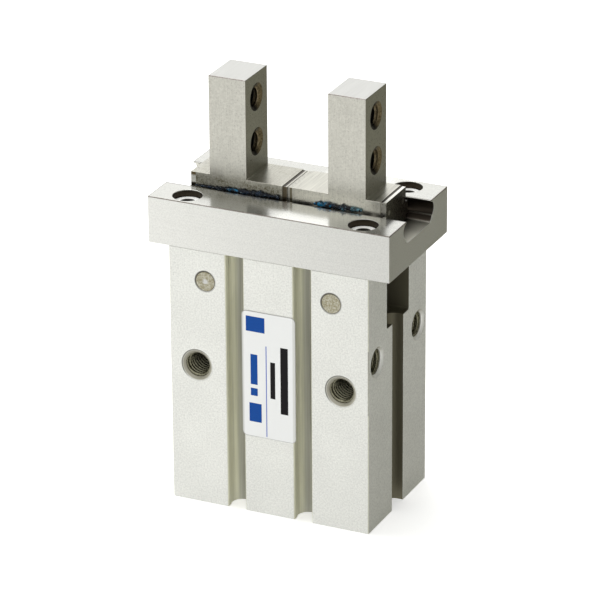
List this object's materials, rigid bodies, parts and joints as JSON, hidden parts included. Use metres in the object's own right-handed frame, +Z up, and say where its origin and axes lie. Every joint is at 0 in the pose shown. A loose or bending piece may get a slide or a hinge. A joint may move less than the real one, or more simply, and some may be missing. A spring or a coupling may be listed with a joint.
{
  "type": "pneumatic parallel gripper",
  "caption": "Compact air-driven parallel gripper: a block body with a piston, levers and a ball guide that slides two upright fingers together and apart.",
  "frame": {"origin": "centre of the body's bottom face", "axes": "+Z up from the bottom face towards the finger tips; X along the fingers' travel, +X towards the side with the air ports; -Y out of the front face, which carries the label"},
  "size_m": [0.05, 0.0277, 0.0848],
  "materials": {
    "body": "bead-blasted and clear anodised, satin off-white",
    "guide": "hardened stainless steel, ground top and satin sides",
    "fingers": "hardened stainless steel, ground, with fine vertical lines",
    "stoppers": "thin stainless plate, lightly oiled",
    "screws": "machined steel",
    "pins": "ground steel",
    "balls": "polished bearing steel",
    "levers": "hardened steel, dark satin",
    "lever_pins": "ground steel pin with a dull cropped end",
    "rod": "hard chromed steel",
    "piston": "machined aluminium",
    "seals": "nitrile rubber",
    "wear_ring": "filled plastic guide ring",
    "magnet": "magnetic rubber",
    "bumpers": "urethane",
    "end_cap": "turned aluminium",
    "retaining_ring": "phosphated spring steel",
    "label": "white film with plain blue bars"
  },
  "bodies": {
    "housing": {"body": "body", "guide": "guide", "guide_screws": "screws", "label": "label", "left_lever_pin": "lever_pins", "right_lever_pin": "lever_pins", "end_cap": "end_cap", "cap_seal": "seals", "retaining_ring": "retaining_ring", "lower_bumper": "bumpers", "upper_bumper": "bumpers", "rod_seal": "seals", "passage_plug": "pins"},
    "right_jaw": {"right_finger": "fingers", "right_inner_stopper": "stoppers", "right_outer_stopper": "stoppers", "right_stopper_pins": "pins"},
    "left_jaw": {"left_finger": "fingers", "left_inner_stopper": "stoppers", "left_outer_stopper": "stoppers", "left_stopper_pins": "pins"},
    "right_ball_rows": {"right_guide_balls": "balls"},
    "left_ball_rows": {"left_guide_balls": "balls"},
    "right_lever_arm": {"right_lever": "levers"},
    "left_lever_arm": {"left_lever": "levers"},
    "piston_assembly": {"joint": "levers", "joint_screw": "screws", "piston_rod": "rod", "piston": "piston", "piston_bolt": "screws", "piston_seal": "seals", "wear_ring": "wear_ring", "magnet": "magnet"}
  },
  "joints": [
    {"name": "right_finger_slide", "type": "slide", "parent": "housing", "child": "right_jaw", "axis": [1, 0, 0], "range_m": [0, 0.005]},
    {"name": "left_finger_slide", "type": "slide", "parent": "housing", "child": "left_jaw", "axis": [-1, 0, 0], "range_m": [0, 0.005]},
    {"name": "right_ball_roll", "type": "slide", "parent": "housing", "child": "right_ball_rows", "axis": [1, 0, 0], "range_m": [0, 0.0025]},
    {"name": "left_ball_roll", "type": "slide", "parent": "housing", "child": "left_ball_rows", "axis": [-1, 0, 0], "range_m": [0, 0.0025]},
    {"name": "right_lever_pivot", "type": "hinge", "parent": "housing", "child": "right_lever_arm", "pos_m": [0.0131, 0, 0.04665], "axis": [0, 1, 0], "range_deg": [0, 21.67]},
    {"name": "left_lever_pivot", "type": "hinge", "parent": "housing", "child": "left_lever_arm", "pos_m": [-0.0131, 0, 0.04665], "axis": [0, -1, 0], "range_deg": [0, 21.67]},
    {"name": "piston_slide", "type": "slide", "parent": "housing", "child": "piston_assembly", "axis": [0, 0, 1], "range_m": [0, 0.0032]}
  ],
  "couplings": [
    {"joint": "left_finger_slide", "follows": "right_finger_slide", "ratio": 1},
    {"joint": "right_ball_roll", "follows": "right_finger_slide", "ratio": 0.5},
    {"joint": "left_ball_roll", "follows": "right_finger_slide", "ratio": 0.5},
    {"joint": "right_lever_pivot", "follows": "right_finger_slide", "rad_per_m": 75.638},
    {"joint": "left_lever_pivot", "follows": "right_finger_slide", "rad_per_m": 75.638},
    {"joint": "piston_slide", "follows": "right_finger_slide", "ratio": 0.63909}
  ]
}
